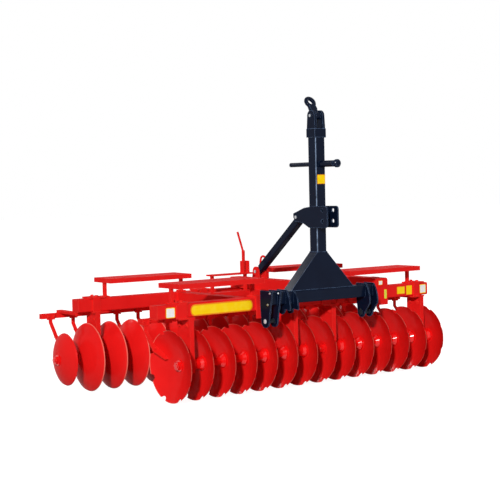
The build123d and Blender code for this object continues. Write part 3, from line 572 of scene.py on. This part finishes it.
# %% [markdown]
# ## Bars and rings
# A pin is a round bar with its ends chamfered: one cone shape with equal radii, bevelled at both
# caps. A ring could be a torus, but bmesh has none, and a small circle spun a full turn about the
# axis makes the same form, closed because the spin merges its ends.


# %% Bar and ring helpers
def round_bar(mesh, start, end, radius, chamfer, segments):
    """Straight round bar with bevelled ends."""
    start, end = Vector(start), Vector(end)
    made = bmesh.ops.create_cone(mesh, cap_ends=True, segments=segments, radius1=radius,
                                 radius2=radius, depth=(end - start).length,
                                 matrix=facing((start + end) / 2, end - start))
    rims = [e for e in edges_of(made["verts"]) if any(len(f.verts) > 4 for f in e.link_faces)]
    bmesh.ops.bevel(mesh, geom=rims, offset=chamfer, affect="EDGES", segments=2, profile=0.5,
                    material=-1)


def ring(mesh, centre, axis, radius, wire):
    """Wire ring round an axis: a small circle spun full turn."""
    axis = Vector(axis).normalized()
    side = axis.orthogonal().normalized()
    section = Matrix((side, axis, side.cross(axis))).transposed().to_4x4()
    at = Matrix.Translation(Vector(centre) + side * radius) @ section
    circle = bmesh.ops.create_circle(mesh, segments=10, radius=wire, matrix=at)
    bmesh.ops.spin(mesh, geom=circle["verts"] + edges_of(circle["verts"]), cent=centre, axis=axis,
                   angle=2 * pi, steps=24, use_merge=True)


# %% [markdown]
# ## Loose hitch pins
# The tractor's link balls are held by two loose pins through the lower clevises. Each is a bar
# with a linch pin through its inner end, a short bar with a spring ring. The pale ends, a painted
# highlight, could be objects of their own, but a pale end is still the same bar, so the faces
# outside the outer plate take the second finish of the piece.

# %% Hitch pins
HITCH_PIN_R, PIN_CHAMFER = 0.0183, 0.006
PIN_ENDS = (-0.068, 0.053)  # from the middle of the clevis, inner and outer
LINCH_X, LINCH_R, LINCH_CHAMFER = 0.058, 0.0045, 0.001
LINCH_DOWN, LINCH_UP = Vector((0, 0, -0.026)), Vector((0, 0, 0.032))
SPRING_UP, SPRING_R, SPRING_WIRE = Vector((0, 0, 0.014)), 0.018, 0.0016
PIN_END_GLINT_FROM = OUTER_PLATE_X + 0.001

pins = bmesh.new()
for side in (-1, 1):
    ends = [HERE @ Vector((side * (HITCH_X + x), HITCH_Y, HITCH_Z)) for x in PIN_ENDS]
    round_bar(pins, ends[0], ends[1], HITCH_PIN_R, PIN_CHAMFER, 32)
    hole = HERE @ Vector((side * (HITCH_X - LINCH_X), HITCH_Y, HITCH_Z))
    round_bar(pins, hole + LINCH_DOWN, hole + LINCH_UP, LINCH_R, LINCH_CHAMFER, 12)
    ring(pins, hole + SPRING_UP, (1, 0, 0), SPRING_R, SPRING_WIRE)
# Faces beyond the outer plate take the pale paint of the painted highlight.
for face in pins.faces:
    face.material_index = int(abs(face.calc_center_median().x - ORIGIN.x) > PIN_END_GLINT_FROM)
finish_piece("hitch_pins", pins, [PHOSPHATED, PIN_END_GLINT])

# %% [markdown]
# ## Weld beads
# The frame is welded from box section. A bead could be a bent tube with a bump pattern, but its
# ripples show on its outline, so they are real: a ring of six points is pushed along the joint
# and scaled up and down as it goes. The beads are painted with the frame.

# %% Bead helper
RIPPLE, SWELL = 0.009, 1.16  # metres from ripple to ripple, how much wider a ripple is


def bead(mesh, start, end, radius):
    """Rippled weld bead from start to end."""
    start, end = Vector(start), Vector(end)
    steps = max(4, round((end - start).length / RIPPLE))
    step = (end - start) / steps
    made = bmesh.ops.create_circle(mesh, cap_ends=True, segments=6, radius=radius,
                                   matrix=facing(start, end - start))
    verts = made["verts"]
    for k in range(steps):
        edges = [e for e in edges_of(verts) if all(v in verts for v in e.verts)]
        grown = bmesh.ops.extrude_edge_only(mesh, edges=edges)["geom"]
        verts = [v for v in grown if isinstance(v, bmesh.types.BMVert)]
        bmesh.ops.translate(mesh, verts=verts, vec=step)
        size = SWELL if k % 2 else 1 / SWELL
        middle = sum((v.co for v in verts), Vector()) / len(verts)
        bmesh.ops.scale(mesh, vec=(size,) * 3, verts=verts, space=Matrix.Translation(-middle))
    rim = [e for e in edges_of(verts) if e.is_boundary]
    bmesh.ops.holes_fill(mesh, edges=rim, sides=6)


# %% [markdown]
# The headstock has the longest beads: along both edges of the gusset on the cross tube, round its
# top, down the cheek plates and across the mast.

# %% Headstock beads
HEAD_FRONT, HEAD_BACK, TUBE_TOP = -0.250, -0.150, 0.806
GUSSET_TOP, CHEEK_LOW, CHEEK_HIGH = 1.104, 1.304, 1.471
FOOT, SIDE = 0.330, 0.050  # half widths of the gusset's foot and of the mast
COLLAR, COLLAR_FRONT, COLLAR_Z = 0.054, -0.252, 2.030
HEAD_BEAD = 0.004
HEAD_SEAMS = [  # start and end of each bead
    ((-FOOT, HEAD_FRONT, TUBE_TOP), (FOOT, HEAD_FRONT, TUBE_TOP)),
    ((-FOOT, HEAD_BACK, TUBE_TOP), (FOOT, HEAD_BACK, TUBE_TOP)),
    ((-SIDE, HEAD_FRONT, GUSSET_TOP), (SIDE, HEAD_FRONT, GUSSET_TOP)),
    ((-SIDE, HEAD_FRONT, GUSSET_TOP), (-SIDE, HEAD_BACK, GUSSET_TOP)),
    ((SIDE, HEAD_FRONT, GUSSET_TOP), (SIDE, HEAD_BACK, GUSSET_TOP)),
    ((-SIDE, HEAD_FRONT, CHEEK_LOW), (-SIDE, HEAD_FRONT, CHEEK_HIGH)),
    ((SIDE, HEAD_FRONT, CHEEK_LOW), (SIDE, HEAD_FRONT, CHEEK_HIGH)),
    ((-COLLAR, COLLAR_FRONT, COLLAR_Z), (COLLAR, COLLAR_FRONT, COLLAR_Z)),
]

beads = bmesh.new()
for start, end in HEAD_SEAMS:
    bead(beads, HERE @ Vector(start), HERE @ Vector(end), HEAD_BEAD)
finish_piece("headstock_welds", beads, [BLACK_ENAMEL])

# %% [markdown]
# The red beads run where a leg meets its foot plate and where a tray post meets its tray and
# foot. A post is square, so it has four short beads at each end.

# %% Frame beads
POSTS = [("front", -1.327), ("front", -0.541), ("front", 0.418), ("front", 1.204),
         ("rear", -1.191), ("rear", -0.452), ("rear", 0.458), ("rear", 1.197)]
LEG_SEAM, LEG_SEAM_Z, LEG_BEAD = 0.080, 0.640, 0.0045
POST_HALF, POST_BEAD = 0.013, 0.003
POST_SEAMS_Z = (0.773, 0.880)
BOTH = (-POST_HALF, POST_HALF)

beads = bmesh.new()
for row, middle, *_ in LEGS:
    for side in (-1, 1):
        along = middle + side * LEG_HALF
        ends = [on_row(row, along, y, LEG_SEAM_Z) for y in (-LEG_SEAM, LEG_SEAM)]
        bead(beads, ends[0], ends[1], LEG_BEAD)
for row, along in POSTS:
    for height in POST_SEAMS_Z:
        for edge in BOTH:
            ends = [on_row(row, along + edge, y, height) for y in BOTH]
            bead(beads, ends[0], ends[1], POST_BEAD)
            ends = [on_row(row, along + x, edge, height) for x in BOTH]
            bead(beads, ends[0], ends[1], POST_BEAD)
finish_piece("frame_welds", beads, [RED_ENAMEL])

# %% [markdown]
# ## Beam caps
# The open ends of the two beams are closed with plates set just inside the tube, so that no soil
# packs in. A cap could be a face stretched over the end, but a real plate has a thickness and a
# rounded edge. It is a cube shape scaled to a plate through its matrix, with all its edges
# bevelled.

# %% Beam caps
CAPS = [("front", -1.494, 1), ("front", 1.400, -1), ("rear", -1.465, 1), ("rear", 1.740, -1)]
WALL, PLATE, PLATE_BEVEL = 0.008, 0.006, 0.0015
INNER = BEAM - 2 * WALL

caps = bmesh.new()
for row, along, inward in CAPS:
    middle = Matrix.Translation((along + inward * PLATE / 2, 0, BEAM_TOP - BEAM / 2))
    plate = ROWS[row] @ middle @ Matrix.Diagonal((PLATE, INNER, INNER, 1))
    made = bmesh.ops.create_cube(caps, size=1, matrix=plate)
    bmesh.ops.bevel(caps, geom=edges_of(made["verts"]), offset=PLATE_BEVEL, affect="EDGES",
                    segments=1, profile=0.5, material=-1)
finish_piece("beam_caps", caps, [RED_ENAMEL])

# %% [markdown]
# ## Label vinyl
# Labels are printed vinyl film under a clear laminate: nearly even colour, low gloss, slightly
# rippled where the film bridges the orange peel of the paint below. An image could carry the
# print, but the labels are blank, so two noise patterns give the fading and the ripples.


# %% Vinyl
def vinyl(name, colour, faded):
    """Printed vinyl film: colour with faded patches about 30 mm wide, ripples about 12 mm wide."""
    material, tree, shader = new_material(name)
    fade = add(tree, "ShaderNodeMapRange", Value=cloudy(tree, 0.03), From_Min=0.4, From_Max=0.7)
    tint = add(tree, "ShaderNodeMix", COLOUR_MIX, i0=fade.outputs[0], i6=linear(colour),
               i7=linear(faded))
    ripple = add(tree, "ShaderNodeBump", Strength=0.1, Distance=0.0004,
                 Height=cloudy(tree, 0.012, 1.0))
    put(tree, shader, Base_Color=tint.outputs[2], Roughness=0.32, Specular_IOR_Level=0.1,
        Normal=ripple.outputs[0])
    return material


YELLOW = vinyl("yellow_vinyl_label", "FFD400", "FFDA2A")
ORANGE = vinyl("orange_vinyl_label", "F08A12", "F2932A")
WHITE = vinyl("white_vinyl_label", "F4F4F2", "ECECE8")
LIME = vinyl("lime_vinyl_label", "D8E04A", "DDE45C")
print("vinyl colours:", [m.name for m in (YELLOW, ORANGE, WHITE, LIME)])

# %% [markdown]
# ## Blank labels
# A label has rounded corners and a printed border. The border could be a second, smaller plate,
# but the two would flicker where they meet. So a label is a grid of one face: its corners are
# bevelled, it is extruded to its thickness, and its top is inset so that the middle takes a
# second finish. The film is drawn 0.6 mm thick, a little more than the real one, so that its edge
# shows.

# %% Label helper
FILM = 0.0006


def label(name, base, width, height, corner, border, finishes):
    """Rounded label lying on the plane of base, whose Z points out of the steel."""
    mesh = bmesh.new()
    made = bmesh.ops.create_grid(mesh, x_segments=1, y_segments=1, size=0.5,
                                 matrix=base @ Matrix.Diagonal((width, height, 1, 1)))
    bmesh.ops.bevel(mesh, geom=made["verts"], offset=corner, affect="VERTICES", segments=5,
                    profile=0.5, material=-1)
    out = base.to_3x3() @ Vector((0, 0, 1))
    grown = bmesh.ops.extrude_face_region(mesh, geom=list(mesh.faces))["geom"]
    raised = [v for v in grown if isinstance(v, bmesh.types.BMVert)]
    bmesh.ops.translate(mesh, verts=raised, vec=out * FILM)
    top = [f for f in mesh.faces
           if all((v.co - base.translation).dot(out) > FILM / 2 for v in f.verts)]
    bmesh.ops.inset_region(mesh, faces=top, thickness=border, use_even_offset=True)
    for face in top:
        face.material_index = 1
    finish_piece(name, mesh, finishes)


# %% [markdown]
# Most labels lie on the front face of the front beam, two on plates that stand proud of it, and
# one on the mast. A row of the table gives the label's carrier and its middle there: along, out
# and up.

# %% Labels
FRONT = ROWS["front"]
BEAM_FACE = -BEAM / 2
STRAP_FACE = BEAM_FACE - STRAP
LABELS = [  # name, carrier, middle, width, height, corner, border, finishes of border and middle
    ("wide_label", FRONT, (-0.885, BEAM_FACE, 0.7035), 0.606, 0.09, 0.04, 0.01, [ORANGE, YELLOW]),
    ("left_label", FRONT, (-1.376, BEAM_FACE, 0.700), 0.084, 0.078, 0.010, 0.006, [YELLOW, WHITE]),
    ("inner_label", FRONT, (1.071, BEAM_FACE, 0.710), 0.096, 0.066, 0.005, 0.004, [ORANGE, YELLOW]),
    ("outer_label", FRONT, (1.172, BEAM_FACE, 0.706), 0.072, 0.082, 0.005, 0.004, [ORANGE, YELLOW]),
    ("right_label", FRONT, (1.343, BEAM_FACE, 0.706), 0.076, 0.078, 0.010, 0.006, [YELLOW, WHITE]),
    ("narrow_label", FRONT, (0.872, STRAP_FACE, 0.692), 0.030, 0.078, 0.004, 0.003, [YELLOW, LIME]),
    ("small_label", FRONT, (0.815, STRAP_FACE, 0.792), 0.044, 0.036, 0.004, 0.003, [YELLOW, WHITE]),
    ("mast_label", HERE, (0.002, HEAD_FRONT, 1.691), 0.084, 0.076, 0.005, 0.004, [ORANGE, YELLOW]),
]
for name, carrier, middle, *sizes, finishes in LABELS:
    base = carrier @ Matrix.Translation(middle) @ Matrix.Rotation(pi / 2, 4, "X")
    label(name, base, *sizes, finishes)

# %% [markdown]
# ## Rod loop at the foot of the brace
# A bent rod beside the fork keeps the tractor's hoses off the discs. It could be a swept circle,
# but a Bezier curve with a round bevel needs only six points and bends as smoothly as the real
# rod. Its two feet stand on the fork.

# %% Rod loop
ROD_R = 0.009
LOOP = [(0.050, 0.572, 0.915), (0.050, 0.572, 1.000), (0.050, 0.590, 1.034), (0.050, 0.630, 1.034),
        (0.050, 0.648, 1.000), (0.050, 0.648, 0.915)]
loop_data = bpy.data.curves.new("hose_loop", "CURVE")
loop_data.dimensions = "3D"
loop_data.bevel_depth = ROD_R
loop_data.bevel_resolution = 4
loop_data.use_fill_caps = True
spline = loop_data.splines.new("BEZIER")
spline.bezier_points.add(len(LOOP) - 1)
for point, place in zip(spline.bezier_points, LOOP):
    point.co = HERE @ Vector(place)
    point.handle_left_type = point.handle_right_type = "AUTO"
loop_data.materials.append(RED_ENAMEL)
loop = bpy.data.objects.new("hose_loop", loop_data)
bpy.context.scene.collection.objects.link(loop)
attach(loop, "frame")
PIECES.append(loop)
print("loop points:", len(LOOP))

# %% [markdown]
# ## Floor
# The photograph is a cut-out on white. A white floor under a strong lamp would throw its light
# back on the machine, so the floor is grey paint that also glows, but only for the rays that show
# it: from the camera, off a gloss or through glass. Glow and lit grey add up to white, and the
# soft shadow stays.

# %% Floor
FLOOR_HALF, FLOOR_GAP = 60, 0.0005
FLOOR_GLOW = 0.925


def background_rays(tree):
    """1 for rays that show the background: from the camera, off a gloss or through glass."""
    path = add(tree, "ShaderNodeLightPath").outputs
    bounced = add(tree, "ShaderNodeMath", LARGER, i0=path["Is Glossy Ray"],
                  i1=path["Is Transmission Ray"])
    return add(tree, "ShaderNodeMath", LARGER, i0=path["Is Camera Ray"],
               i1=bounced.outputs[0]).outputs[0]


floor_mesh = bmesh.new()
bmesh.ops.create_grid(floor_mesh, x_segments=1, y_segments=1, size=FLOOR_HALF)
floor_data = bpy.data.meshes.new("floor")
floor_mesh.to_mesh(floor_data)
floor_mesh.free()
floor = bpy.data.objects.new("floor", floor_data)
bpy.context.scene.collection.objects.link(floor)
floor.location = (0, 0, CAD_BOX[0][2] - FLOOR_GAP)
floor_finish, tree, shader = new_material("white_studio_floor")
put(tree, shader, Base_Color=linear("8C8C8C"), Roughness=0.9)
glow = add(tree, "ShaderNodeEmission", Color=(FLOOR_GLOW,) * 3 + (1,),
           Strength=background_rays(tree))
both = add(tree, "ShaderNodeAddShader", i0=shader.outputs[0], i1=glow.outputs[0])
put(tree, next(n for n in tree.nodes if n.type == "OUTPUT_MATERIAL"), Surface=both.outputs[0])
floor_data.materials.append(floor_finish)
floor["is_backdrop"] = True
print("floor at", round(floor.location.z, 4))

# %% [markdown]
# ## Backdrop
# The world is the white behind the machine. As a light it stays weak, because an even fill from
# all sides would take the shade out of the hollow discs.

# %% World
WORLD_FILL, WORLD_SHOWN = 0.09, 1.0  # strength as light on the object, and as seen
world = bpy.data.worlds.new("studio")
bpy.context.scene.world = world
world.use_nodes = True
sky = world.node_tree
sky.nodes.clear()
strength = add(sky, "ShaderNodeMapRange", Value=background_rays(sky), To_Min=WORLD_FILL,
               To_Max=WORLD_SHOWN)
backdrop = add(sky, "ShaderNodeBackground", Color=(1, 1, 1, 1), Strength=strength.outputs[0])
add(sky, "ShaderNodeOutputWorld", Surface=backdrop.outputs[0])
print("world fill:", WORLD_FILL)

# %% [markdown]
# ## Lamps
# The key lamp is small and far away at the left front, so it gives each disc the crisp shaded
# band that its neighbour throws. A sun lamp would do that too, but its rays are all parallel, and
# an area lamp can be moved nearer or given a softer edge until the bands fall as they should. Two
# weak low lamps lift the shade on the discs and the headstock, and two large high ones at the
# back and the right light the tops and the faces that look away from the camera.

# %% Lamps
AIM = Vector((0, 0.3, 0.5))
LAMPS = [  # name, place, side of the square in metres, watts
    ("key", (-21.8, -21.8, 12.3), 1.7, 9300),
    ("left", (-8.0, -3.0, 1.5), 3.0, 22),
    ("front", (2.0, -9.0, 0.7), 2.0, 130),
    ("rear", (-3.0, 12.0, 8.0), 4.0, 700),
    ("right", (12.0, 1.5, 7.0), 4.0, 600),
]
for name, place, size, watts in LAMPS:
    lamp_data = bpy.data.lights.new(name, "AREA")
    lamp_data.size = size
    lamp_data.energy = watts
    lamp = bpy.data.objects.new(name, lamp_data)
    lamp.location = Vector(place) + ORIGIN
    lamp.rotation_euler = (AIM - Vector(place)).to_track_quat("-Z", "Y").to_euler()
    bpy.context.scene.collection.objects.link(lamp)
print("lamps:", [name for name, *_ in LAMPS])

# %% [markdown]
# ## View
# Standard is the view transform that shows a colour as it is written. The others bend bright and
# strong colours towards a film look, which would turn this red to orange.

# %% View settings
bpy.context.scene.view_settings.view_transform = "Standard"
print("pieces made:", len(PIECES))

# %% [markdown]
# ## Sizes
# Both boxes are worked out and printed: the CAD model's, and the one with everything that was
# added. Nothing that was added may stand outside the CAD model's box.

# %% Sizes
VISUAL_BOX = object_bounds()
sizes = {"cad": [list(corner) for corner in CAD_BOX], "visual": [list(corner) for corner in VISUAL_BOX]}
print("CAD box", sizes["cad"], "visual box", sizes["visual"])
